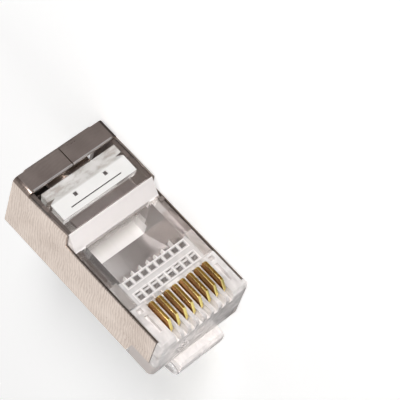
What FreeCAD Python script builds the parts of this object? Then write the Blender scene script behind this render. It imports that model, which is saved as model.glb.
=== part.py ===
import FreeCAD, Part
import math
import os

# Shielded eight-way modular plug, as supplied: contacts not yet pressed down, crimp flaps still open.
# Lengths are millimetres. Each piece is drawn in the plug's own axes, with x across the plug, y towards
# the jack and z from the latch side to the contact side. Zero is the outer face of the shield at its
# rear edge. At the end the whole plug is turned and moved until it lies on its left wall.

V = FreeCAD.Vector

# folded metal shield
BODY_WIDTH = 11.7          # across the outside of the shield
SHEET = 0.3                # thickness of the nickel-plated sheet
BEND = 0.6                 # outside radius of its long bends
REAR_HEIGHT = 8.5          # latch side to contact side, over the crimp band
WALL_REAR_TOP = 8.0        # top of the side walls beside the rear window
FRONT_HEIGHT = 6.6         # latch side to contact side, ahead of the step
STEP_Y = 8.0               # where the height steps down
STEP_CREST = 0.3           # rise of the walls just behind the step
STEP_LEAN = 0.15           # how far the step leans forward
WALL_END = 21.45           # front edge of the side walls
PLATE_END = 18.3           # front edge of the latch-side plate
CORNER_Y = 18.95           # the walls' lower front corners are cut away from here
CORNER_Z = 2.4             # and below this height
NOTCH_HALF = 2.3           # notch in the plate's front edge, under the latch
NOTCH_DEPTH = 1.25
LOCK_HALF = 2.5            # locking window in the plate
LOCK_REAR = 14.6
LOCK_LENGTH = 1.4
BAND = 2.3                 # length of the crimp band
SEAM = 0.12                # gap where the band's two flaps meet
HEM_TOP_HALF = 4.25        # the band's hem, turned in at the cable entry
HEM_LOW_HALF = 2.7
HEM_DEPTH = 1.75           # how far the hem reaches into the entry
HEM_LENGTH = 2.85          # length of its tongue, from the rear edge
HEM_FALL = 0.35            # how much the tongue leans inwards
HEM_LEAN = 0.15            # how much the turned-in edge leans forward
LIP_HALF = 4.75            # lead-in lip on the latch-side plate
LIP_TOP_HALF = 3.9
LIP_HEIGHT = 1.6
LIP_LEAN = 0.1
HEM_RADIUS = 0.4           # bend radius of hem and lip, on the sheet's middle

# clear moulded housing
FIT = 0.03                 # gap between housing and shield
OVERLAP = 0.2              # how far features of one moulding run into each other
CLEAR = 1.0                # how far a cutter passes the faces it opens
WALL_DROP = 0.1            # the moulded walls stop this far below the shield's
HOUSING_REAR = 0.7
FLOOR = 0.6                # floor over the latch-side plate
REAR_CAVITY_HALF = 5.1     # room for the cable jacket
FRONT_CAVITY_HALF = 4.25   # room for the eight wires
CAVITY_STEP = 8.5          # where the cavity narrows
RISER_TOP = WALL_REAR_TOP + STEP_CREST - WALL_DROP
RISER_LENGTH = 1.3
RISER_THICK = 0.75
RISER_FOOT = 0.4           # flat under the riser's foot
RAMP_START = 10.0          # the floor climbs from here to the wire channels
COMB_TIP = 13.2
BLOCK_REAR = 14.5          # rear face of the solid front block
BLOCK_STEP = 17.4          # the contact bank stands a little higher from here
BLOCK_RISE = 0.15
NOSE_END = 22.3
NOSE_BEVEL = 0.35
NOSE_HEEL = 1.1            # size of the bevel along the latch-side front edge
NOSE_CORNER = 0.35
RECESS_HALF = 3.3          # room in the nose for the pressed latch
RECESS_DEPTH = 0.45

# wire channels and contacts
WAYS = 8
PITCH = 1.02
CHANNEL_RADIUS = 0.46
CHANNEL_Z = 3.3
CHANNEL_END = 21.3
TOOTH_WIDTH = 0.5
TOOTH_HEIGHT = 0.85        # height of the comb teeth over the channel floor
WINDOW_WIDTH = 0.64        # inspection windows over the channels, one row behind another
WINDOW_ROWS = ((14.72, 0.55, 2.7), (16.2, 0.12, 0.5), (16.55, 0.5, 1.4))   # rear edge, length, depth
CONTACT_THICK = 0.35
CONTACT_REAR = 17.9
CONTACT_LENGTH = 3.3
CONTACT_TOP = 7.6
CONTACT_BEVEL = 0.7        # sloping front shoulder of the blade
BEVEL_DROP = 1.0
CONTACT_EDGE = 0.25        # small bevel on the rear shoulder
PRONGS = 3
PRONG_WIDTH = 0.55
PRONG_DEPTH = 0.9
CONTACT_HEIGHT = 3.5       # prong tip to contact face
SLOT_FIT = 0.02            # gap on each side of a blade
GROOVE_WIDTH = 0.56        # open groove that bares the blade to the jack
GROOVE_DEPTH = 1.1
GROOVE_BACK = 0.12         # how far the groove starts behind the blade
SIDE_GROOVE = (4.45, 0.45, 18.6, 2.2, 0.5)    # x, width, rear edge, length, depth
SIDE_POCKET = (4.5, 0.6, 17.65, 0.5, 0.7)

# strain relief bar, held by its web until it is pressed onto the cable
BAR_REAR = 2.98
BAR_LENGTH = 3.45
BAR_SINK = 0.05            # the bar's top lies this far under the crimp band's
BAR_TOP = REAR_HEIGHT - BAR_SINK
BAR_FALL = 0.15            # slope of its top towards the front
BAR_HALF = 4.8
BAR_KEEL = 2.5             # depth of the bar
KEEL_SHOULDER = 0.25       # how far the rear face leans in over its upper half
KEEL_START = 0.9           # flat underside of the keel, from the bar's rear face
KEEL_END = 1.6
KEEL_FRONT = 0.4           # drop of the short bevel under the bar's front edge
BAR_NOTCH_Y = 1.1          # notch at each end of the bar
BAR_NOTCH = 0.85
BAR_NOTCH_BACK = 0.2
BAR_NOTCH_AHEAD = 0.7
BAR_NOTCH_DEPTH = 1.2
PIT = 0.45                 # square ejector pits
PIT_X = 1.97
PIT_Y = 1.9
PIT_DEPTH = 0.3
SCORE_Y = 2.75             # score line along the bar
SCORE_WIDTH = 0.12
SCORE_HALF = 3.3
SCORE_DEPTH = 0.35
WEB_HALF = 3.97
WEB_TOP = 7.55
WEB_THICK = 0.35
CLIP = 0.45                # small square clips at the foot of the riser
CLIP_Y = 9.75
CLIP_HEIGHT = 0.4

# latch, drawn closed and flat, then swung open about its hinge
LATCH_ANGLE = 12.5         # how far the free latch stands off the body, in degrees
HINGE_Y = 22.5
HINGE_Z = -0.65
KNUCKLE = 0.85             # radius of the rounded root
HINGE_GAP = 0.05
SEAT_REACH = 0.45          # how far the seat reaches behind the hinge line
ROOT_HALF = 3.0
ROOT_TOP = 1.1
ROOT_FRONT = 23.45
ROOT_BEVEL = 0.3
ROOT_UNDER = 0.45          # underside of the root, from the hinge line
ARM_IN = 0.68              # inner face of the arm, from the hinge line
SHOULDER = 7.35            # hinge to the catch shoulders
TAIL_HALF = 1.62
TAIL_FLAT = 14.8           # hinge to the end of the tail's flat
TAIL_END = 16.55
TAIL_TAPER = 10.0          # where the tail starts to thin
TAIL_TIP_OUT = 0.4         # outer and inner face at the tip, from the hinge line
TAIL_TIP_IN = 0.15
TAIL_CORNER = 0.5


def box(x0, x1, y0, y1, z0, z1):
    return Part.makeBox(x1 - x0, y1 - y0, z1 - z0, V(x0, y0, z0))


def across(half, y0, y1, z0, z1):
    """A box centred on the plug's middle plane."""
    return box(-half, half, y0, y1, z0, z1)


def prism(corners, length):
    face = Part.Face(Part.makePolygon(corners + corners[:1]))
    return face.extrude(length)


def side_prism(outline, half):
    """A side outline in y and z, carried across the plug."""
    return prism([V(-half, y, z) for y, z in outline], V(2 * half, 0, 0))


def plan_prism(outline, z0, z1):
    """An outline in x and y, carried up."""
    return prism([V(x, y, z0) for x, y in outline], V(0, 0, z1 - z0))


def rear_prism(outline, y0, y1):
    """An outline in x and z, carried forward."""
    return prism([V(x, y0, z) for x, z in outline], V(0, y1 - y0, 0))


def both_sides(shape):
    return [shape, shape.mirror(V(0, 0, 0), V(1, 0, 0))]


def edges_along(shape, direction):
    found = []
    for edge in shape.Edges:
        start, end = edge.firstVertex().Point, edge.lastVertex().Point
        if (end - start).cross(direction).Length < 1e-6:
            found.append(edge)
    return found


def rounded_bar(half, y0, y1, z0, z1, radius):
    bar = across(half, y0, y1, z0, z1)
    return bar.makeFillet(radius, edges_along(bar, V(0, 1, 0)))


def bent_strip(points, radius, half):
    """A strip of sheet that follows points in y and z, with a round bend at each inner point."""
    corners = [V(0, y, z) for y, z in points]
    edges = []
    start = corners[0]
    for before, corner, after in zip(corners, corners[1:], corners[2:]):
        back = (before - corner).normalize()
        on = (after - corner).normalize()
        half_angle = back.getAngle(on) / 2
        reach = radius / math.tan(half_angle)
        middle = corner + (back + on).normalize() * (radius / math.sin(half_angle) - radius)
        edges.append(Part.LineSegment(start, corner + back * reach).toShape())
        edges.append(Part.Arc(corner + back * reach, middle, corner + on * reach).toShape())
        start = corner + on * reach
    edges.append(Part.LineSegment(start, corners[-1]).toShape())
    path = Part.Wire(edges)
    along = (corners[1] - corners[0]).normalize()
    up = V(0, -along.z, along.y) * (SHEET / 2)
    wide = V(half, 0, 0)
    first = corners[0]
    section = Part.makePolygon([first - wide - up, first + wide - up, first + wide + up,
                                first - wide + up, first - wide - up])
    return path.makePipeShell([section], True, True)


def ways():
    """The x of each contact, from way 1 to way 8."""
    return [(i - (WAYS - 1) / 2) * PITCH for i in range(WAYS)]


def wall_outline():
    """Side outline of the shield, in y and z."""
    return [(0, 0), (0, REAR_HEIGHT), (BAND, REAR_HEIGHT), (BAND, WALL_REAR_TOP),
            (STEP_Y, WALL_REAR_TOP + STEP_CREST), (STEP_Y + STEP_LEAN, FRONT_HEIGHT),
            (WALL_END, FRONT_HEIGHT), (WALL_END, CORNER_Z), (CORNER_Y, CORNER_Z), (PLATE_END, 0)]


def shield():
    half = BODY_WIDTH / 2
    outside = rounded_bar(half, 0, WALL_END, 0, REAR_HEIGHT, BEND)
    inside = rounded_bar(half - SHEET, -CLEAR, WALL_END + CLEAR, SHEET, REAR_HEIGHT - SHEET, BEND - SHEET)
    folded = outside.cut(inside).common(side_prism(wall_outline(), BODY_WIDTH))
    folded = folded.fuse([band_hem(), entry_lip()])
    notch = across(NOTCH_HALF, PLATE_END - NOTCH_DEPTH, PLATE_END + CLEAR, -CLEAR, CLEAR)
    window = across(LOCK_HALF, LOCK_REAR, LOCK_REAR + LOCK_LENGTH, -CLEAR, CLEAR)
    seam = across(SEAM / 2, -CLEAR, HEM_LENGTH + CLEAR, REAR_HEIGHT / 2, REAR_HEIGHT + CLEAR)
    open_top = across(half - SHEET, BAND, STEP_Y + CLEAR, WALL_REAR_TOP - BEND, REAR_HEIGHT + CLEAR)
    return folded.cut([notch, window, open_top, seam]).removeSplitter()


def band_hem():
    """The band's rear edge turns in and runs forward as a tongue, so the cable meets no raw edge."""
    top = REAR_HEIGHT - SHEET / 2
    low = top - HEM_DEPTH
    back = -SHEET / 2
    strip = bent_strip([(BAND / 2, top), (back, top), (back + HEM_LEAN, low),
                        (HEM_LENGTH, low - HEM_FALL)], HEM_RADIUS, HEM_TOP_HALF)
    bottom = low - HEM_FALL - 2 * SHEET
    bend_z = low + HEM_RADIUS
    outline = [(-HEM_TOP_HALF, REAR_HEIGHT), (-HEM_TOP_HALF, top - HEM_RADIUS), (-HEM_LOW_HALF, bend_z),
               (-HEM_LOW_HALF, bottom), (HEM_LOW_HALF, bottom), (HEM_LOW_HALF, bend_z),
               (HEM_TOP_HALF, top - HEM_RADIUS), (HEM_TOP_HALF, REAR_HEIGHT)]
    return strip.common(rear_prism(outline, -CLEAR, HEM_LENGTH + CLEAR))


def entry_lip():
    """The plate's rear edge turns up as a lead-in for the cable."""
    middle = SHEET / 2
    strip = bent_strip([(BAND / 2, middle), (-middle, middle), (-middle - LIP_LEAN, LIP_HEIGHT)],
                       HEM_RADIUS, LIP_HALF)
    top = LIP_HEIGHT + CLEAR
    outline = [(-LIP_HALF, 0), (-LIP_HALF, HEM_RADIUS), (-LIP_TOP_HALF, top),
               (LIP_TOP_HALF, top), (LIP_HALF, HEM_RADIUS), (LIP_HALF, 0)]
    return strip.common(rear_prism(outline, -CLEAR, BAND))


def housing():
    moulding = core().fuse(nose())
    moulding = moulding.cut([rear_cavity(), front_cavity(), latch_recess()])
    moulding = moulding.fuse([riser(), latch_root(), strain_relief()] + clips())
    moulding = moulding.cut(channels() + windows() + contact_slots() + side_cuts() + [knuckle_seat()])
    return moulding.fuse(comb()).removeSplitter()


def core():
    """The part of the moulding that the shield wraps. It runs on into the nose."""
    half = BODY_WIDTH / 2 - SHEET - FIT
    floor = SHEET + FIT
    raised = FRONT_HEIGHT + BLOCK_RISE
    front = WALL_END + OVERLAP
    outline = [(HOUSING_REAR, floor), (HOUSING_REAR, WALL_REAR_TOP - WALL_DROP), (STEP_Y, RISER_TOP),
               (STEP_Y + RISER_LENGTH, FRONT_HEIGHT), (BLOCK_STEP, FRONT_HEIGHT), (BLOCK_STEP, raised),
               (front, raised), (front, floor)]
    rounded = rounded_bar(half, HOUSING_REAR, front, floor, REAR_HEIGHT + BEND, BEND - SHEET - FIT)
    return rounded.common(side_prism(outline, half))


def nose():
    """The bare front of the moulding, as wide as the shield, closing round the shield's edges."""
    top = FRONT_HEIGHT + BLOCK_RISE
    outline = [(PLATE_END + FIT, 0), (CORNER_Y + FIT, CORNER_Z - FIT), (WALL_END + FIT, CORNER_Z - FIT),
               (WALL_END + FIT, top), (NOSE_END - NOSE_BEVEL, top), (NOSE_END, top - NOSE_BEVEL),
               (NOSE_END, NOSE_HEEL), (NOSE_END - NOSE_HEEL, 0)]
    return rounded_nose_block(top).common(side_prism(outline, BODY_WIDTH))


def rounded_nose_block(top):
    """The nose before its side outline is cut: long lower corners and upright front corners rounded."""
    half = BODY_WIDTH / 2
    block = across(half, PLATE_END - CLEAR, NOSE_END, -CLEAR, top + CLEAR)
    upright = [edge for edge in edges_along(block, V(0, 0, 1)) if edge.firstVertex().Point.y > PLATE_END]
    long_bar = rounded_bar(half, PLATE_END - CLEAR, NOSE_END, 0, top + BEND, BEND)
    return block.makeFillet(NOSE_CORNER, upright).common(long_bar)


def rear_cavity():
    floor = SHEET + FIT + FLOOR
    return across(REAR_CAVITY_HALF, HOUSING_REAR - CLEAR, CAVITY_STEP, floor, REAR_HEIGHT + CLEAR)


def front_cavity():
    floor = SHEET + FIT + FLOOR
    channel_floor = CHANNEL_Z - CHANNEL_RADIUS
    back, top = CAVITY_STEP - CLEAR, REAR_HEIGHT + CLEAR
    outline = [(back, floor), (RAMP_START, floor), (COMB_TIP, channel_floor),
               (BLOCK_REAR, channel_floor), (BLOCK_REAR, top), (back, top)]
    return side_prism(outline, FRONT_CAVITY_HALF)


def latch_recess():
    back = PLATE_END - NOTCH_DEPTH
    return across(RECESS_HALF, back, HINGE_Y - SEAT_REACH, -CLEAR, RECESS_DEPTH)


def riser():
    """The sloping bar across the plug, between the rear and the front window."""
    half = BODY_WIDTH / 2 - SHEET - FIT
    foot = STEP_Y + RISER_LENGTH
    back = STEP_Y - OVERLAP
    under = FRONT_HEIGHT - RISER_THICK
    outline = [(back, RISER_TOP), (STEP_Y, RISER_TOP), (foot, FRONT_HEIGHT), (foot, under),
               (foot - RISER_FOOT, under), (back, RISER_TOP - 2 * RISER_THICK)]
    return side_prism(outline, half)


def clips():
    x = BODY_WIDTH / 2 - SHEET - FIT
    clip = box(x - CLIP, x, CLIP_Y, CLIP_Y + CLIP, FRONT_HEIGHT - OVERLAP, FRONT_HEIGHT + CLIP_HEIGHT)
    return both_sides(clip)


def strain_relief():
    """A keeled bar, hung from the riser by a thin web until a crimping tool folds it onto the cable."""
    rear, front = BAR_REAR, BAR_REAR + BAR_LENGTH
    top, keel = BAR_TOP, BAR_TOP - BAR_KEEL
    web_under = WEB_TOP - WEB_THICK
    outline = [(rear, top), (rear + KEEL_SHOULDER, (top + keel) / 2), (rear + KEEL_START, keel),
               (rear + KEEL_END, keel), (front - KEEL_FRONT / 2, web_under - KEEL_FRONT),
               (front, web_under), (front, top - BAR_FALL)]
    bar = side_prism(outline, BAR_HALF)
    web = across(WEB_HALF, front - OVERLAP, STEP_Y, web_under, WEB_TOP)
    cuts = both_sides(bar_notch()) + both_sides(ejector_pit()) + [score_line()]
    return bar.cut(cuts).fuse(web)


def bar_notch():
    apex = BAR_REAR + BAR_NOTCH_Y
    outside = BAR_HALF + CLEAR
    outline = [(outside, apex - BAR_NOTCH_BACK), (BAR_HALF - BAR_NOTCH, apex),
               (outside, apex + BAR_NOTCH_AHEAD)]
    return plan_prism(outline, BAR_TOP - BAR_NOTCH_DEPTH, BAR_TOP + CLEAR)


def ejector_pit():
    half = PIT / 2
    y = BAR_REAR + PIT_Y
    bottom = BAR_TOP - BAR_FALL - PIT_DEPTH
    return box(PIT_X - half, PIT_X + half, y - half, y + half, bottom, BAR_TOP + CLEAR)


def score_line():
    y = BAR_REAR + SCORE_Y
    return across(SCORE_HALF, y, y + SCORE_WIDTH, BAR_TOP - SCORE_DEPTH, BAR_TOP + CLEAR)


def latch_root():
    """What carries the latch, ahead of the nose and under it."""
    back = HINGE_Y - SEAT_REACH
    inside = NOSE_END - NOSE_HEEL
    under = HINGE_Z + ROOT_UNDER
    outline = [(inside, ROOT_TOP), (ROOT_FRONT - ROOT_BEVEL, ROOT_TOP), (ROOT_FRONT, ROOT_TOP - ROOT_BEVEL),
               (ROOT_FRONT, under), (back, under), (back, RECESS_DEPTH), (inside, RECESS_DEPTH)]
    return side_prism(outline, ROOT_HALF)


def knuckle_seat():
    start = V(-ROOT_HALF - CLEAR, HINGE_Y, HINGE_Z)
    return Part.makeCylinder(KNUCKLE + HINGE_GAP, 2 * (ROOT_HALF + CLEAR), start, V(1, 0, 0))


def channels():
    back = BLOCK_REAR - CLEAR
    return [Part.makeCylinder(CHANNEL_RADIUS, CHANNEL_END - back, V(x, back, CHANNEL_Z), V(0, 1, 0))
            for x in ways()]


def comb():
    """Pointed teeth that part the wires, one between each pair of channels."""
    foot = CHANNEL_Z - CHANNEL_RADIUS
    half = TOOTH_WIDTH / 2
    teeth = []
    for left, right in zip(ways(), ways()[1:]):
        x = (left + right) / 2
        outline = [(x, COMB_TIP), (x + half, BLOCK_REAR), (x - half, BLOCK_REAR)]
        teeth.append(plan_prism(outline, foot - OVERLAP, foot + TOOTH_HEIGHT))
    return teeth


def windows():
    half = WINDOW_WIDTH / 2
    cuts = []
    for rear, length, depth in WINDOW_ROWS:
        bottom, top = FRONT_HEIGHT - depth, FRONT_HEIGHT + CLEAR
        cuts += [box(x - half, x + half, rear, rear + length, bottom, top) for x in ways()]
    return cuts


def contact_slots():
    """A close slot that holds each blade, under a wider groove that is open to the front."""
    top = FRONT_HEIGHT + BLOCK_RISE
    tight = CONTACT_THICK / 2 + SLOT_FIT
    wide = GROOVE_WIDTH / 2
    rear = CONTACT_REAR - SLOT_FIT
    front = CONTACT_REAR + CONTACT_LENGTH + SLOT_FIT
    cuts = []
    for x in ways():
        cuts.append(box(x - tight, x + tight, rear, front, CHANNEL_Z, top + CLEAR))
        cuts.append(box(x - wide, x + wide, rear - GROOVE_BACK, NOSE_END + CLEAR,
                        top - GROOVE_DEPTH, top + CLEAR))
    return cuts


def side_cuts():
    top = FRONT_HEIGHT + BLOCK_RISE
    cuts = []
    for x, width, rear, length, depth in (SIDE_GROOVE, SIDE_POCKET):
        cuts += both_sides(box(x, x + width, rear, rear + length, top - depth, top + CLEAR))
    return cuts


def contact(x):
    """A stamped blade: contact face and sloping shoulder above, three piercing prongs below."""
    rear, front = CONTACT_REAR, CONTACT_REAR + CONTACT_LENGTH
    top, tip = CONTACT_TOP, CONTACT_TOP - CONTACT_HEIGHT
    root = tip + PRONG_DEPTH
    outline = [(front, root), (front, top - BEVEL_DROP), (front - CONTACT_BEVEL, top),
               (rear + CONTACT_EDGE, top), (rear, top - CONTACT_EDGE), (rear, root)]
    spacing = (CONTACT_LENGTH - PRONG_WIDTH) / (PRONGS - 1)
    for i in range(PRONGS):
        start = rear + i * spacing
        if i:
            outline.append((start, root))
        outline.append((start + PRONG_WIDTH / 2, tip))
        if i < PRONGS - 1:
            outline.append((start + PRONG_WIDTH, root))
    blade = side_prism(outline, CONTACT_THICK / 2)
    blade.translate(V(x, 0, 0))
    return blade


def latch():
    """Knuckle, wide arm with catch shoulders, and thinning tail, drawn flat and swung open."""
    def y(distance):
        return HINGE_Y - distance

    outer, inner = HINGE_Z - KNUCKLE, HINGE_Z + ARM_IN
    knuckle = Part.makeCylinder(KNUCKLE, 2 * ROOT_HALF, V(-ROOT_HALF, HINGE_Y, HINGE_Z), V(1, 0, 0))
    arm = across(ROOT_HALF, y(SHOULDER), HINGE_Y, outer, inner)
    outline = [(y(SHOULDER - 1), outer), (y(TAIL_FLAT), outer), (y(TAIL_END), HINGE_Z - TAIL_TIP_OUT),
               (y(TAIL_END), HINGE_Z - TAIL_TIP_IN), (y(TAIL_TAPER), inner), (y(SHOULDER - 1), inner)]
    tail = side_prism(outline, TAIL_HALF)
    corners = [edge for edge in tail.Edges if abs(edge.CenterOfMass.y - y(TAIL_END)) < 1e-6
               and abs(edge.CenterOfMass.x) > TAIL_HALF - 1e-6]
    tail = tail.makeFillet(TAIL_CORNER, corners)
    whole = knuckle.fuse([arm, tail]).removeSplitter()
    whole.rotate(V(0, HINGE_Y, HINGE_Z), V(1, 0, 0), LATCH_ANGLE)
    return whole


def pieces():
    made = {"housing": housing(), "latch": latch(), "shield": shield()}
    for number, x in enumerate(ways(), 1):
        made["contact_%d" % number] = contact(x)
    return made


def lay_down(made):
    """Turn the plug onto its left wall, with the floor at z = 0 under its middle."""
    for shape in made.values():
        shape.rotate(V(0, 0, 0), V(0, 1, 0), -90)
    bounds = Part.makeCompound(list(made.values())).optimalBoundingBox(False)
    shift = V(-bounds.Center.x, -bounds.Center.y, -bounds.ZMin)
    for shape in made.values():
        shape.translate(shift)
    return shift


os.makedirs("parts", exist_ok=True)
plug = pieces()
moved = lay_down(plug)
print("moved by", moved)
for name, shape in plug.items():
    solid = shape.Solids[0]
    print(name, shape.ShapeType, len(shape.Solids), "solid", round(solid.Volume, 3), "mm3", shape.isValid())
    solid.exportStep("parts/%s.step" % name)
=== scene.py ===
# %% [markdown]
# # A shielded modular plug
#
# This lesson dresses the plug that was drawn as solids: a clear moulded housing with its latch, a folded
# sheet-metal shield and a bank of gold-plated blades. The solids come in as a fixed frame in metres. Each
# visible piece is either such a solid with a better material, or a finished copy of it with softened edges.

# %% Load the frame
import math
import bpy
from mathutils import Matrix, Vector


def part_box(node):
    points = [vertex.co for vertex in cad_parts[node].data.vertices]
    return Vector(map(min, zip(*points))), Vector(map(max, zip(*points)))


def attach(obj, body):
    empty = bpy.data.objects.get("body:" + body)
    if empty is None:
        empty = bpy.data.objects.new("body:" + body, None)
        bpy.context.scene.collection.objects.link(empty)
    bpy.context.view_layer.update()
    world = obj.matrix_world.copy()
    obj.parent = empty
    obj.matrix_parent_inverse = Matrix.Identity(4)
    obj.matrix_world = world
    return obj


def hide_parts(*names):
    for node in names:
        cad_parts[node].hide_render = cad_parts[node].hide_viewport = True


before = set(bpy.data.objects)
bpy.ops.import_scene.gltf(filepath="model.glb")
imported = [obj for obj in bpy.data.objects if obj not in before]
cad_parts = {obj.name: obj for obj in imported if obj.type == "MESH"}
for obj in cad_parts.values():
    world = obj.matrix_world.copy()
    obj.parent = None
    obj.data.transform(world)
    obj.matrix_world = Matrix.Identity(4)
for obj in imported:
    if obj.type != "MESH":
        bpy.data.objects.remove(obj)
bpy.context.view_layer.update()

MM = 0.001
WALL_LENGTH = 21.45 * MM            # the shield's side walls, from its rear edge
shield_low, shield_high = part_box("shield")
PLATE = shield_high[0]
REAR = shield_high[1] - WALL_LENGTH
MIDDLE = (shield_low[2] + shield_high[2]) / 2
print("nodes:", sorted(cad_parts))

# %% [markdown]
# ## Camera
#
# A loose plug lies on one of its side walls, and is seen from above its front corner through a long
# lens. The camera is rolled, so that the contacts face up in its view. A camera in Blender looks along
# its own -Z, with +Y up, so its three axes are laid out as the columns of a matrix. That is exact, where
# aiming at a target would leave the roll to chance.

# %% Camera
CAMERA_PLACE = Vector((-178.032, 53.956, 92.450)) * MM
LOOK = Vector((0.846697, -0.259638, -0.464427)).normalized()
RIGHT = Vector((-0.188119, 0.670407, -0.717751))
SENSOR = 36.0
LENS = 184.473


def add_camera():
    right = (RIGHT - LOOK * RIGHT.dot(LOOK)).normalized()
    up = right.cross(LOOK)
    axes = Matrix((right, up, -LOOK)).transposed()
    bpy.ops.object.camera_add()
    camera = bpy.context.object
    camera.name = "camera"
    camera.matrix_world = Matrix.Translation(CAMERA_PLACE) @ axes.to_4x4()
    camera.data.lens = LENS
    camera.data.sensor_width = SENSOR
    camera.data.clip_start = 0.01
    camera.data.clip_end = 10.0
    camera.data.dof.use_dof = False
    bpy.context.scene.camera = camera
    return camera


camera = add_camera()
bpy.context.scene.view_settings.view_transform = "Standard"
print("camera", round(CAMERA_PLACE.length / MM), "mm away, lens", round(camera.data.lens, 1), "mm")

# %% [markdown]
# ## Writing shader maths as plain expressions
#
# A material is a graph of nodes. Wiring it by hand hides the sum it works out, so one small class wraps
# an output socket and turns `a * b + c` into Math nodes. A second helper adds any other kind of node:
# it takes the settings first, because some of them decide which sockets the node has.

# %% Socket and material helpers
class Wire:
    """One output of a node. Arithmetic on it adds Math nodes to the same material."""

    def __init__(self, paint, socket):
        self.paint = paint
        self.socket = socket

    def sum_of(self, operation, first, second=None):
        inputs = {0: first} if second is None else {0: first, 1: second}
        return self.paint.add("ShaderNodeMath", {"operation": operation}, inputs)

    def __add__(self, other):
        return self.sum_of("ADD", self, other)

    def __radd__(self, other):
        return self.sum_of("ADD", other, self)

    def __sub__(self, other):
        return self.sum_of("SUBTRACT", self, other)

    def __rsub__(self, other):
        return self.sum_of("SUBTRACT", other, self)

    def __mul__(self, other):
        return self.sum_of("MULTIPLY", self, other)

    def __rmul__(self, other):
        return self.sum_of("MULTIPLY", other, self)

    def larger(self, other):
        return self.sum_of("MAXIMUM", self, other)

    def past(self, start, stop):
        """0 below start, 1 above stop, and smooth between. With stop below start it falls instead."""
        low, high = sorted((start, stop))
        ends = (0.0, 1.0) if start < stop else (1.0, 0.0)
        return self.paint.add("ShaderNodeMapRange", {"interpolation_type": "SMOOTHSTEP"}, {
            "Value": self, "From Min": low, "From Max": high, "To Min": ends[0], "To Max": ends[1]})

    def between(self, low, high, soft):
        """1 from low to high, and 0 beyond them, with soft ends."""
        return self.past(low - soft, low) * self.past(high + soft, high)


class Paint:
    """A material, or the world, under construction."""

    def __init__(self, tree):
        self.tree = tree
        self.tree.nodes.clear()

    def node(self, kind, settings=None, inputs=None):
        node = self.tree.nodes.new(kind)
        for name, value in (settings or {}).items():
            if name == "stops":
                self.set_stops(node.color_ramp, value)
            else:
                setattr(node, name, value)
        for key, value in (inputs or {}).items():
            if isinstance(value, Wire):
                self.tree.links.new(value.socket, node.inputs[key])
            else:
                node.inputs[key].default_value = value
        return node

    def add(self, kind, settings=None, inputs=None, output=0):
        return Wire(self, self.node(kind, settings, inputs).outputs[output])

    def set_stops(self, ramp, stops):
        for place, _ in stops[2:]:
            ramp.elements.new(place)
        for element, (place, tone) in zip(ramp.elements, sorted(stops)):
            element.position = place
            element.color = tone

    def blend(self, share, first, second):
        """A colour between two, by share."""
        return self.add("ShaderNodeMix", {"data_type": "RGBA"}, {0: share, 6: first, 7: second}, output=2)

    def stretched(self, scale):
        """Object coordinates, scaled by axis, for a grain that runs along one direction."""
        place = self.add("ShaderNodeTexCoord", output="Object")
        return self.add("ShaderNodeMapping", {}, {"Vector": place, "Scale": scale})

    def plug_axes(self):
        """Where a point is on the plug, in mm: across from its middle, along towards the jack, and up from
        the latch side."""
        place = self.add("ShaderNodeTexCoord", output="Object")
        split = self.node("ShaderNodeSeparateXYZ", {}, {0: place})
        x, y, z = (Wire(self, split.outputs[i]) for i in range(3))
        return z * (1 / MM) - MIDDLE / MM, y * (1 / MM) - REAR / MM, PLATE / MM - x * (1 / MM)

    def noise(self, place, scale=1.0, detail=3.0, roughness=0.5, distortion=0.0):
        return self.add("ShaderNodeTexNoise", {}, {"Vector": place, "Scale": scale, "Detail": detail,
                                                   "Roughness": roughness, "Distortion": distortion})

    def finish(self, shader):
        is_world = isinstance(self.tree.id_data, bpy.types.World)
        self.node("ShaderNodeOutputWorld" if is_world else "ShaderNodeOutputMaterial", {}, {0: shader})


def new_paint(name):
    material = bpy.data.materials.new(name)
    material.use_nodes = True
    return material, Paint(material.node_tree)


def colour(red, green, blue):
    """Three display levels from 0 to 255, as the linear colour that a shader takes."""
    def linear(level):
        share = level / 255
        return share / 12.92 if share <= 0.04045 else ((share + 0.055) / 1.055) ** 2.4
    return (linear(red), linear(green), linear(blue), 1.0)


WHITE = colour(255, 255, 255)
print("helpers ready")

# %% [markdown]
# ## The folded shield: nickel-plated sheet
#
# Rolled and plated sheet is a metal, so it has no colour of its own under the light, only tinted
# reflections. Rolling leaves a fine wavy grain that scatters them. An image of real sheet would show the
# same patch everywhere, so the grain is made of two textures instead: a wave texture, bent by slower
# noise, for the ripples, and noise on the same coordinates for the flecks.

# %% Nickel sheet: the rolled grain
RIPPLE_SHARE = 0.34


def rolled_grain(paint, across, along, up):
    """The grain of the sheet, and the slow sway that bends it."""
    sway = paint.noise(paint.stretched((1, 1, 1)), scale=330.0, detail=2.0)
    lines = paint.add("ShaderNodeCombineXYZ", {}, {
        0: along + sway * 1.1 + up * 0.16, 1: up * 0.45, 2: across * 0.8})
    ripple = paint.add("ShaderNodeTexWave", {"wave_type": "BANDS", "bands_direction": "X"}, {
        "Vector": lines, "Scale": 0.92, "Distortion": 6.5, "Detail": 2.0, "Detail Scale": 0.9,
        "Detail Roughness": 0.6}, output=1)
    fleck = paint.noise(lines, scale=4.2, detail=4.0, roughness=0.7)
    return ripple * RIPPLE_SHARE + fleck * (1 - RIPPLE_SHARE), sway


print("ripples are", RIPPLE_SHARE, "of the grain")
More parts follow.
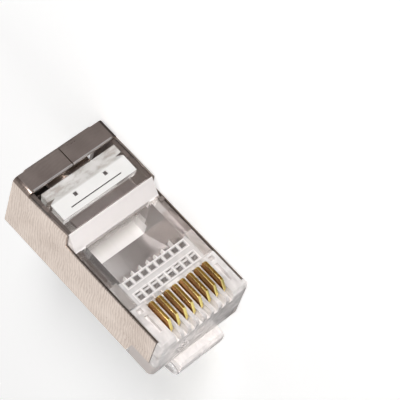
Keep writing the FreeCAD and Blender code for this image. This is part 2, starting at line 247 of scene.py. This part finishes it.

# %% [markdown]
# ### Where the sheet differs
#
# The side walls show the grain at its strongest. The inside and the crimp band are given darker tints, as
# painted shade, and the hem a lighter one, as painted light where it faces the open mouth. Sheared rims and
# the band's folds get painted shade, and the band's front edge a painted highlight. Each is a mask on the
# plug's own axes, in mm.

# %% Nickel sheet: its tones
BAND = 2.3                          # length of the crimp band
BAND_FACE, PLATE_FACE = 8.2, 0.2    # above the one and below the other, the sheet shows its outside
HEM_FOOT = 3.5                      # the hem is turned in from this height up
OUTER, INNER = 5.85, 5.55           # the walls' faces, from the middle
REAR_WALL_TOP, FRONT_WALL_TOP = 8.0, 6.6


def sheet_tones(paint, tone, along, up, walls):
    outside = paint.blend(tone, colour(190, 173, 161), colour(233, 219, 208))
    # The inside and the crimp band take darker copies of the outside's tint, as painted shade.
    inside_shade = paint.blend(tone, colour(98, 91, 89), colour(150, 142, 139))
    crimped_shade = paint.blend(tone, colour(162, 146, 139), colour(204, 189, 181))
    # The hem is painted lighter than the rest of the inside, as painted light where it faces the open
    # mouth.
    hem = along.past(BAND + 0.3, BAND) * up.past(HEM_FOOT, HEM_FOOT + 1.0)
    inside_shade = paint.blend(hem, inside_shade, colour(186, 174, 165))
    faces = up.past(BAND_FACE - 0.05, BAND_FACE).larger(up.past(PLATE_FACE + 0.05, PLATE_FACE))
    band = up.past(REAR_WALL_TOP, REAR_WALL_TOP + 0.1) * along.past(BAND, BAND - 0.02)
    return paint.blend(band, paint.blend(walls.larger(faces), inside_shade, outside), crimped_shade)


print("crimp band", BAND, "mm long, sheet", round(OUTER - INNER, 2), "mm thick")

# %% Nickel sheet: its edges
STEP = 8.0                          # where the height steps down
WALL_END = WALL_LENGTH / MM
FOLD = 13.85                        # across plus up, where the band starts to round into a wall
HIGHLIGHT_HALF = 5.1                     # half the length of the painted highlight on the band's front edge


def sheet_edges(paint, sheet, along, up, wide):
    # Painted shade: dark lines along the walls' cut top edges and front ends, and over the band's folds.
    rear_rim = up.between(REAR_WALL_TOP - 0.1, REAR_WALL_TOP + 0.02, 0.02)
    rear_rim = rear_rim * along.between(BAND + 0.6, STEP, 0.02)
    front_rim = up.between(FRONT_WALL_TOP - 0.1, FRONT_WALL_TOP + 0.02, 0.02)
    front_rim = front_rim * along.past(STEP + 0.2, STEP + 0.25)
    top_rim = rear_rim.larger(front_rim) * wide.past(OUTER - 0.09, OUTER - 0.15)
    rim_shade = top_rim.larger(along.past(WALL_END - 0.09, WALL_END - 0.06)) * wide.past(INNER - 0.05, INNER)
    fold = (wide + up).past(FOLD - 0.04, FOLD + 0.04) * along.past(BAND + 0.12, BAND + 0.10)
    # Painted highlight: a bright line along the crimp band's front edge.
    front_edge_highlight = along.between(BAND - 0.16, BAND + 0.05, 0.03) * up.past(BAND_FACE - 0.05, BAND_FACE)
    front_edge_highlight = front_edge_highlight * wide.past(HIGHLIGHT_HALF + 0.1, HIGHLIGHT_HALF)
    painted_shade = rim_shade.larger(fold * 0.8)
    return paint.blend(front_edge_highlight, paint.blend(painted_shade * 0.85, sheet, colour(92, 80, 72)), colour(255, 250, 246))


print("rims end", round(WALL_END, 2), "mm from the rear edge")

# %% [markdown]
# ### The sheet's material
#
# A metal's Base Color is the tint of its reflections. The grain also sets the roughness a little and lifts
# the surface by a bump, which is what makes the ripples glint as the light moves over them.

# %% Nickel sheet: the material
def nickel_sheet():
    material, paint = new_paint("nickel_sheet")
    across, along, up = paint.plug_axes()
    wide = across.sum_of("ABSOLUTE", across)
    walls = wide.past(INNER + 0.05, OUTER - 0.15)
    grain, sway = rolled_grain(paint, across, along, up)
    cloud = paint.noise(paint.stretched((1, 1, 1)), scale=300.0, detail=3.0)
    tone = (grain - 0.5) * (walls + 0.25) + (cloud - 0.5) * 1.1 + 0.5
    sheet = sheet_tones(paint, tone, along, up, walls)
    bump = paint.add("ShaderNodeBump", {}, {
        "Strength": 0.45, "Distance": 0.06 * MM, "Height": grain * (walls * 0.92 + 0.08)})
    shader = paint.add("ShaderNodeBsdfPrincipled", {}, {
        "Base Color": sheet_edges(paint, sheet, along, up, wide), "Metallic": 1.0,
        "Roughness": 0.33 + (sway - 0.5) * 0.2 + (grain - 0.5) * 0.16, "Normal": bump})
    paint.finish(shader)
    return material


NICKEL = nickel_sheet()
print("made", NICKEL.name)

# %% [markdown]
# ## The housing and latch: clear polycarbonate
#
# The moulding is glass-clear plastic, so most of what it shows is behind it. The shader bends light as
# polycarbonate does, and a milky shader is mixed in by a share: faint everywhere, and stronger where the
# steel mould was textured or the plastic is thick. Many places also get a tint of painted shade, and a few
# one of painted light. The share and its tint could be painted by hand, but then they would belong to one
# mesh. Here they are laid on place by place, so a small class keeps both.

# %% Clear polycarbonate: haze by place
PITCH = 1.02                        # from one contact to the next, mm


class Haze:
    """The milky share of a moulding and its tint, with painted light and shade, built up one place after
    another.
    """

    def __init__(self, paint, tint):
        self.paint = paint
        self.share = None
        self.tint = tint
        self.across, self.along, self.up = paint.plug_axes()
        self.wide = self.across.sum_of("ABSOLUTE", self.across)
        self.swirl = paint.noise(paint.stretched((1, 0.45, 1)), scale=560.0, detail=2.5, distortion=0.7)

    def lay(self, share):
        self.share = share if self.share is None else self.share.larger(share)

    # Tints a place, for some places with painted shade and for some with painted light.
    def tint_light_and_shade(self, mask, tint):
        self.tint = self.paint.blend(mask, self.tint, colour(*tint))


print("haze is laid on place by place")

# %% [markdown]
# ### The front window and the nose
#
# The riser behind the window is the whitest part, as its mould is textured. The ramp below it gets more
# milk towards its front edge, as painted light, and the floor ahead a painted sheen. The nose is thick and
# full of slots, so swirls break its haze up. The flanks beside the cavity are in the shield's shade, and
# are tinted brown as painted shade.

# %% Clear polycarbonate: window, nose and flanks
RISER_REAR, RISER_FRONT, RISER_FOOT = 7.9, 9.4, 5.2
RAMP_EDGE = 10.0                    # front edge of the ramp, where the window's floor starts
FLOOR_TOP = 2.5
COMB_TIP, COMB_REAR = 13.0, 14.45   # tips of the comb's teeth, and the block that they stand on
NOSE_REAR = 17.1
CAVITY_HALF = 4.9
CORNER_ALONG, CORNER_UP = 18.9, 2.4   # the shield leaves the lower front corner bare


def window_haze(haze):
    across, along, up = haze.across, haze.along, haze.up
    low = up.past(FLOOR_TOP + 0.1, FLOOR_TOP - 0.1)
    riser = along.between(RISER_REAR, RISER_FRONT, 0.1) * up.past(RISER_FOOT, RISER_FOOT + 0.2) * 0.86
    haze.lay(riser)
    haze.tint_light_and_shade(riser, (255, 249, 247))
    # Painted light: the ramp's milk grows towards its front edge.
    ramp = along.past(RAMP_EDGE - 2.8, RAMP_EDGE - 0.3) * along.past(RAMP_EDGE + 0.02, RAMP_EDGE - 0.03)
    haze.lay(ramp * low * 0.62)
    # Painted sheen on the window's floor.
    haze.lay(across.past(-2.0, 5.0) * along.between(RAMP_EDGE, COMB_TIP, 0.8) * low * 0.34)


def nose_haze(haze):
    along, up, wide = haze.along, haze.up, haze.wide
    nose = along.past(NOSE_REAR, NOSE_REAR + 0.4)
    haze.lay(nose * ((haze.swirl - 0.5) * 1.7 + 0.56))
    haze.tint_light_and_shade(nose, (240, 235, 233))
    corner = along.past(CORNER_ALONG - 0.1, CORNER_ALONG) * up.past(CORNER_UP + 0.1, CORNER_UP)
    corner = corner * wide.past(CAVITY_HALF, CAVITY_HALF + 0.2)
    haze.lay(corner * 0.85)
    haze.tint_light_and_shade(corner, (207, 196, 191))


def flank_haze(haze):
    along, wide = haze.along, haze.wide
    behind = along.past(RISER_REAR + 0.05, RISER_REAR - 0.05)
    ahead = along.between(RISER_FRONT + 0.05, COMB_REAR - 0.25, 0.1)
    # Painted shade: the flanks are tinted brown.
    flank = wide.past(CAVITY_HALF, CAVITY_HALF + 0.1) * behind.larger(ahead)
    haze.lay(flank * 0.5)
    haze.tint_light_and_shade(flank, (116, 104, 98))


print("window, nose and flanks ready")

# %% [markdown]
# ### The strain-relief bar
#
# The bar is milky on top, and its rear third is streaked with painted shade. The thin web that holds it is
# tinted dark, as painted shade for the inside of the shield behind it. The notches at its ends, the two
# ejector pits and the score line are tinted dark as well, as painted shade, since they hold no light.

# %% Clear polycarbonate: the strain-relief bar
BAR_REAR, BAR_FRONT, BAR_HALF = 2.9, 6.5, 4.9
BAR_FACE, BAR_FOOT = 8.2, 5.7       # heights of its top and of the haze in its keel
REAR_SHADE_END = 4.3                     # the rear third is streaked with painted shade up to here
WEB_FOOT = 7.0
NOTCH_REAR, NOTCH_FRONT, NOTCH_FOOT = 3.92, 4.70, 6.5
NOTCH_REACH = 3.95                  # the notches start this far from the middle


def bar_haze(haze):
    along, up, wide = haze.along, haze.up, haze.wide
    streak = haze.paint.noise(haze.paint.stretched((0.35, 2.2, 1)), scale=700.0, detail=3.0, roughness=0.6)
    body = along.between(BAR_REAR, BAR_FRONT, 0.05) * wide.past(BAR_HALF + 0.05, BAR_HALF - 0.05)
    top = up.past(BAR_FACE, BAR_FACE + 0.06) * along.past(REAR_SHADE_END, REAR_SHADE_END + 0.4) * 0.60
    depth = up.past(BAR_FOOT, BAR_FOOT + 0.1) * 0.18
    haze.lay(body * (top + depth + up.past(BAR_FACE - 0.1, BAR_FACE + 0.1) * 0.30))
    haze.tint_light_and_shade(body * streak * 0.6, (226, 229, 224))
    # Painted shade: grey-brown streaks over the bar's rear third.
    rear_shade = body * along.past(REAR_SHADE_END + 0.25, REAR_SHADE_END - 0.25) * (streak - 0.40).past(0.0, 0.25)
    haze.tint_light_and_shade(rear_shade * 0.85, (172, 162, 153))
    # Painted shade: the web is tinted dark.
    web = along.between(BAR_FRONT - 0.04, RISER_REAR, 0.02) * up.past(WEB_FOOT, WEB_FOOT + 0.1)
    haze.lay(web * 0.42)
    haze.tint_light_and_shade(web, (112, 102, 99))
    # Painted shade: the notches are tinted dark.
    notch = wide.past(NOTCH_REACH - 0.1, NOTCH_REACH + 0.1) * along.between(NOTCH_REAR, NOTCH_FRONT, 0.05)
    notch = notch * up.past(BAR_FACE + 0.1, BAR_FACE + 0.02) * up.past(NOTCH_FOOT, NOTCH_FOOT + 0.1)
    haze.lay(notch * 0.8)
    haze.tint_light_and_shade(notch, (122, 110, 102))


print("strain-relief bar", round(BAR_FRONT - BAR_REAR, 2), "mm long")

# %% Clear polycarbonate: pits and score line
PIT_PLACE, PIT_ALONG, PIT_HALF = 1.97, 4.88, 0.24
SCORE_ALONG, SCORE_REACH, SCORE_HALF = 5.73, 3.4, 0.13


def mark_haze(haze):
    along, up, wide = haze.along, haze.up, haze.wide
    pits = wide.between(PIT_PLACE - PIT_HALF, PIT_PLACE + PIT_HALF, 0.02)
    pits = pits * along.between(PIT_ALONG - PIT_HALF, PIT_ALONG + PIT_HALF, 0.02)
    pits = pits * up.between(BAR_FACE - 0.2, BAR_FACE, 0.02)
    score = wide.past(SCORE_REACH + 0.02, SCORE_REACH - 0.02)
    score = score * along.between(SCORE_ALONG - SCORE_HALF, SCORE_ALONG + SCORE_HALF, 0.01)
    score = score * up.between(BAR_FACE - 0.3, BAR_FACE + 0.06, 0.02)
    # Painted shade: the pits and the score line are tinted dark.
    painted_shade = pits.larger(score)
    haze.lay(painted_shade * 0.9)
    haze.tint_light_and_shade(painted_shade, (92, 86, 86))


print("pits", 2 * PIT_HALF, "mm square, score line", 2 * SCORE_REACH, "mm long")

# %% [markdown]
# ### The comb
#
# Two rows of openings run across the comb, one opening in each row for every contact. The plastic between
# them is thin, and is given a whitish tint as a painted highlight, a grid of bright lines. The openings and
# the comb's ends are tinted grey and brown as painted shade. A ping-pong of the distance across the
# plug, folded at half the pitch, gives the place within one opening, so one mask serves all eight.

# %% Clear polycarbonate: the comb
ROWS = ((14.60, 15.42), (16.08, 17.14))
SEAMS = ((14.50, 14.62), (15.38, 15.50), (16.00, 16.10), (17.12, 17.22))
OPENING_HALF = 0.38                 # from the middle of a contact to the side of its openings
COMB_TOP, COMB_FRONT, COMB_HALF = 6.42, 17.3, 4.35
GRID_HALF = 4.15


def from_blade(across):
    """Distance across the plug from the middle of the nearest contact, mm."""
    fold = across.sum_of("PINGPONG", across, PITCH / 2)
    return (fold - PITCH / 2).sum_of("ABSOLUTE", fold - PITCH / 2)


def bands(along, spans):
    first, *others = [along.between(low, high, 0.02) for low, high in spans]
    for band in others:
        first = first.larger(band)
    return first


def comb_haze(haze):
    across, along, up, wide = haze.across, haze.along, haze.up, haze.wide
    top = up.past(COMB_TOP, COMB_TOP + 0.08)
    block = along.between(COMB_REAR, COMB_FRONT, 0.05) * wide.past(COMB_HALF + 0.4, COMB_HALF)
    haze.lay(block * top * 0.50)
    teeth = along.between(COMB_TIP, COMB_REAR - 0.15, 0.05) * up.between(3.0, 3.9, 0.05)
    haze.lay(teeth * 0.9)
    # Painted highlight: the plastic between the openings is whitened into a grid of bright lines.
    walls = bands(along, ROWS) * from_blade(across).past(OPENING_HALF, OPENING_HALF + 0.06)
    grid = walls.larger(bands(along, SEAMS)) * top * wide.past(GRID_HALF + 0.03, GRID_HALF - 0.03)
    haze.lay(grid * 0.7)
    haze.tint_light_and_shade(grid * 0.6, (255, 249, 247))
    # Painted shade: the comb's ends are tinted brown.
    ends = wide.past(COMB_HALF, COMB_HALF + 0.4) * along.between(COMB_REAR - 0.25, NOSE_REAR, 0.1)
    ends = ends * (haze.swirl + 0.15)
    haze.lay(ends * 0.7)
    haze.tint_light_and_shade(ends, (158, 146, 138))
    # Painted shade: the insides of the openings are tinted grey.
    holes = along.between(14.6, 17.15, 0.03) * up.between(4.6, 6.40, 0.03)
    haze.lay(holes * 0.6)
    haze.tint_light_and_shade(holes, (172, 166, 163))


print("comb ready:", len(ROWS), "rows of openings,", len(SEAMS), "seams")

# %% [markdown]
# ### The two plastics
#
# The housing takes all the places above. The latch has only the faint haze with its slow flow marks, so
# the same function makes it without them. Rays on their way to a lamp pass straight through both, or the
# plug would cast a black shadow.

# %% Clear polycarbonate: the materials
POLYCARBONATE_IOR = 1.58


def clear_plastic(name, places=()):
    material, paint = new_paint(name)
    flow = paint.noise(paint.stretched((1, 0.35, 1)), scale=520.0, detail=3.0, distortion=0.8)
    ripple = paint.noise(paint.stretched((1, 1, 1)), scale=700.0, detail=1.0)
    bump = paint.add("ShaderNodeBump", {}, {"Strength": 0.05, "Distance": 0.1 * MM, "Height": ripple})
    clear = paint.add("ShaderNodeBsdfPrincipled", {}, {
        "Base Color": colour(249, 247, 247), "Roughness": 0.03, "IOR": POLYCARBONATE_IOR,
        "Transmission Weight": 1.0, "Normal": bump})
    milk = paint.blend(flow, colour(232, 228, 226), colour(249, 246, 245))
    share = 0.06 + (flow - 0.5) * 0.10
    if places:
        haze = Haze(paint, milk)
        for place in places:
            place(haze)
        share = haze.share + share
        milk = haze.tint
    milky = paint.add("ShaderNodeBsdfPrincipled", {}, {
        "Base Color": milk, "Roughness": 0.28, "IOR": POLYCARBONATE_IOR, "Normal": bump})
    body = paint.add("ShaderNodeMixShader", {}, {0: share, 1: clear, 2: milky})
    through = paint.add("ShaderNodeBsdfTransparent", {}, {"Color": colour(247, 246, 244)})
    to_lamp = paint.add("ShaderNodeLightPath", output="Is Shadow Ray")
    paint.finish(paint.add("ShaderNodeMixShader", {}, {0: to_lamp, 1: body, 2: through}))
    return material


HOUSING_PLACES = (window_haze, nose_haze, bar_haze, flank_haze, comb_haze, mark_haze)
CLEAR = clear_plastic("clear_polycarbonate", HOUSING_PLACES)
LATCH_CLEAR = clear_plastic("latch_polycarbonate")
print("made", CLEAR.name, "and", LATCH_CLEAR.name)

# %% [markdown]
# ## The blades: gold plate
#
# Gold plating is a metal with a strong yellow tint. The flat sides of a blade are tinted brown, as painted
# shade for the neighbours they mirror, while the rims of the cut edge and both ends, the front bevel
# included, get painted highlights. The eight blades share one material, with the same distance from a
# contact's middle as in the comb to pick out sides and rims. Stamping leaves streaks along the edge, so
# the tint drifts a little as well.

# %% Gold plate
BLADE_HALF = 0.175                  # half a blade's thickness, mm
FRONT_BEVEL, REAR_END = 20.45, 18.0


def gold_plate():
    material, paint = new_paint("gold_plate")
    across, along, _ = paint.plug_axes()
    streak = paint.noise(paint.stretched((2600, 420, 7200)), scale=1.0, detail=3.0)
    pool = paint.noise(paint.stretched((1, 1, 1)), scale=1300.0, detail=2.0)
    off = from_blade(across)
    tone = (streak - 0.5) * 1.5 + (pool - 0.5) * 0.3 + 0.5
    face = paint.blend(tone, colour(178, 124, 54), colour(236, 186, 92))
    # Painted highlights: bright rims along the cut edge, and both ends.
    rims = off.between(BLADE_HALF - 0.050, BLADE_HALF - 0.015, 0.012)
    ends = along.past(FRONT_BEVEL - 0.03, FRONT_BEVEL + 0.05)
    ends = ends.larger(along.past(REAR_END + 0.02, REAR_END - 0.02))
    with_highlights = paint.blend(ends, paint.blend(rims, face, colour(255, 234, 152)), colour(252, 232, 148))
    # Painted shade: the blade's flat sides are tinted brown.
    sides = off.past(BLADE_HALF - 0.009, BLADE_HALF - 0.002)
    bump = paint.add("ShaderNodeBump", {}, {"Strength": 0.12, "Distance": 0.03 * MM, "Height": streak})
    shader = paint.add("ShaderNodeBsdfPrincipled", {}, {
        "Base Color": paint.blend(sides, with_highlights, colour(168, 118, 54)), "Metallic": 1.0,
        "Roughness": 0.28 + (pool - 0.5) * 0.1, "Normal": bump})
    paint.finish(shader)
    return material


GOLD = gold_plate()
print("made", GOLD.name)

# %% [markdown]
# ## Softening the edges
#
# The solids have knife-sharp edges, and no real edge is: a moulded or stamped one is rounded by a few
# hundredths of a millimetre, and that thin round is what catches the light. Each visible solid gets a
# finished copy. Its loose triangles are merged, flat fans become single faces, and a bevel modifier then
# rounds the edges that turn sharply. The copy stands in for its solid and moves with the same body.

# %% A finished copy of a solid
SHARP = math.radians(28)
WELD = 0.0004 * MM
FLAT = math.radians(0.4)


def finished_copy(node, name, body, material, edge, segments=2):
    """A copy of a solid with rounded edges, in the solid's place and on its body."""
    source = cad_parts[node]
    bpy.ops.object.select_all(action="DESELECT")
    piece = bpy.data.objects.new(name, source.data.copy())
    bpy.context.collection.objects.link(piece)
    bpy.context.view_layer.objects.active = piece
    piece.select_set(True)
    bpy.ops.object.mode_set(mode="EDIT")
    bpy.ops.mesh.select_all(action="SELECT")
    bpy.ops.mesh.remove_doubles(threshold=WELD)
    bpy.ops.mesh.dissolve_limited(angle_limit=FLAT)
    bpy.ops.object.mode_set(mode="OBJECT")
    soft = piece.modifiers.new("soft_edges", "BEVEL")
    soft.limit_method = "ANGLE"
    soft.angle_limit = SHARP
    soft.width = edge
    soft.segments = segments
    bpy.ops.object.modifier_apply(modifier=soft.name)
    bpy.ops.object.shade_smooth_by_angle(angle=SHARP)
    flat = piece.modifiers.new("flat_faces", "WEIGHTED_NORMAL")
    flat.keep_sharp = True
    bpy.ops.object.modifier_apply(modifier=flat.name)
    piece.data.materials.clear()
    piece.data.materials.append(material)
    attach(piece, body)
    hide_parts(node)
    print(name, "has", len(piece.data.polygons), "faces")


# %% [markdown]
# ## The pieces
#
# The latch is pressed by thumbs, so its edges are moulded the roundest. The shield's cut edges come next,
# as burrs are tumbled off before plating, and then the housing's, whose mould is sharp. The blades are
# stamped from thin strip, so their edges are the finest.

# %% Dress every solid
WAYS = 8

finished_copy("shield", "shield_sheet", "plug", NICKEL, edge=0.05 * MM)
finished_copy("housing", "housing_moulding", "plug", CLEAR, edge=0.03 * MM, segments=1)
finished_copy("latch", "latch_moulding", "latch", LATCH_CLEAR, edge=0.08 * MM)
for way in range(1, WAYS + 1):
    finished_copy("contact_%d" % way, "blade_%d" % way, "plug", GOLD, edge=0.018 * MM)

# %% [markdown]
# ## The floor
#
# The plug lies on a white sweep. To the camera, and through the plastic, the floor is white paper with a
# little light of its own, which brings it up to white and leaves the shadow on it. To every other ray it
# is a grey card, so it throws no more light on the plug than a table would. In reflections the part
# ahead of the plug glows, which gives the metal something bright to mirror.

# %% Floor
FLOOR_HALF = 0.6
SHOWN_LIFT = 0.30                   # light of its own that the floor shows to the camera
AHEAD_LIFT, REST_LIFT = 0.6, 0.04   # and in reflections, ahead of the plug and elsewhere
AHEAD_START, AHEAD_FULL = 0.012, 0.020


def white_sweep():
    material, paint = new_paint("white_sweep")
    path = paint.node("ShaderNodeLightPath")
    seen = Wire(paint, path.outputs["Is Camera Ray"])
    mirrored = Wire(paint, path.outputs["Is Glossy Ray"])
    through = Wire(paint, path.outputs["Is Transmission Ray"])
    shown = seen.larger(through)
    grit = paint.noise(paint.stretched((1, 1, 1)), scale=90.0, detail=2.0)
    card = paint.blend(grit, colour(148, 148, 150), colour(152, 152, 154))
    paper = paint.add("ShaderNodeBsdfDiffuse", {}, {"Color": paint.blend(shown, card, WHITE)})
    place = paint.add("ShaderNodeTexCoord", output="Object")
    forward = paint.add("ShaderNodeSeparateXYZ", {}, {0: place}, output=1)
    ahead = forward.past(AHEAD_START, AHEAD_FULL)
    lift = shown * SHOWN_LIFT + mirrored * (ahead * AHEAD_LIFT + REST_LIFT)
    glow = paint.add("ShaderNodeEmission", {}, {
        "Color": paint.blend(lift, colour(0, 0, 0), WHITE), "Strength": 1.0})
    paint.finish(paint.add("ShaderNodeAddShader", {}, {0: paper, 1: glow}))
    return material


bpy.ops.object.select_all(action="DESELECT")
bpy.ops.mesh.primitive_plane_add(size=2 * FLOOR_HALF, location=(0, 0, 0))
floor = bpy.context.object
floor.name = "floor"
floor.data.materials.append(white_sweep())
print("floor", 2 * FLOOR_HALF, "m across")

# %% [markdown]
# ## World and lamps
#
# The world is white to the camera. For reflections it has one darker side, as a studio has: without it,
# plating has nothing but white to mirror and reads as paint. A small key lamp on the contacts' side draws
# the shadow, and a large fill lamp ahead of the plug softens it. The fill is kept out of reflections,
# where it would burn the top wall out to white from behind.

# %% World and lamps
DARK_SIDE = (-0.95, -0.30, 0.10)
DOME = 0.37                         # strength of the even light from all round


def studio_world():
    world = bpy.data.worlds.new("studio")
    world.use_nodes = True
    bpy.context.scene.world = world
    paint = Paint(world.node_tree)
    direction = paint.add("ShaderNodeTexCoord", output="Generated")
    toward = paint.add("ShaderNodeVectorMath", {"operation": "DOT_PRODUCT"}, {0: direction, 1: DARK_SIDE},
                       output="Value")
    shade = paint.add("ShaderNodeValToRGB", {
        "stops": [(0.55, WHITE), (0.9, colour(120, 116, 118))]}, {0: toward})
    dome = paint.add("ShaderNodeBackground", {}, {"Color": colour(255, 254, 253), "Strength": DOME})
    sides = paint.add("ShaderNodeBackground", {}, {"Color": shade, "Strength": 1.0})
    white = paint.add("ShaderNodeBackground", {}, {"Color": WHITE, "Strength": 1.0})
    path = paint.node("ShaderNodeLightPath")
    seen = Wire(paint, path.outputs["Is Camera Ray"])
    mirrored = Wire(paint, path.outputs["Is Glossy Ray"])
    through = Wire(paint, path.outputs["Is Transmission Ray"])
    lit = paint.add("ShaderNodeMixShader", {}, {0: mirrored, 1: dome, 2: sides})
    paint.finish(paint.add("ShaderNodeMixShader", {}, {0: seen.larger(through), 1: lit, 2: white}))


def soft_lamp(name, place, size, power):
    """A round area lamp that points at the plug."""
    bpy.ops.object.light_add(type="AREA", location=place)
    lamp = bpy.context.object
    lamp.name = name
    lamp.data.shape = "DISK"
    lamp.data.size = size
    lamp.data.energy = power
    lamp.rotation_euler = (-Vector(place)).to_track_quat("-Z", "Y").to_euler()
    return lamp


studio_world()
key = soft_lamp("key", place=(-0.52, 0.02, 0.19), size=0.12, power=2.5)
fill = soft_lamp("fill", place=(0.05, 0.62, 0.14), size=0.40, power=0.85)
fill.visible_glossy = False
print("lit by", key.name, "and", fill.name)
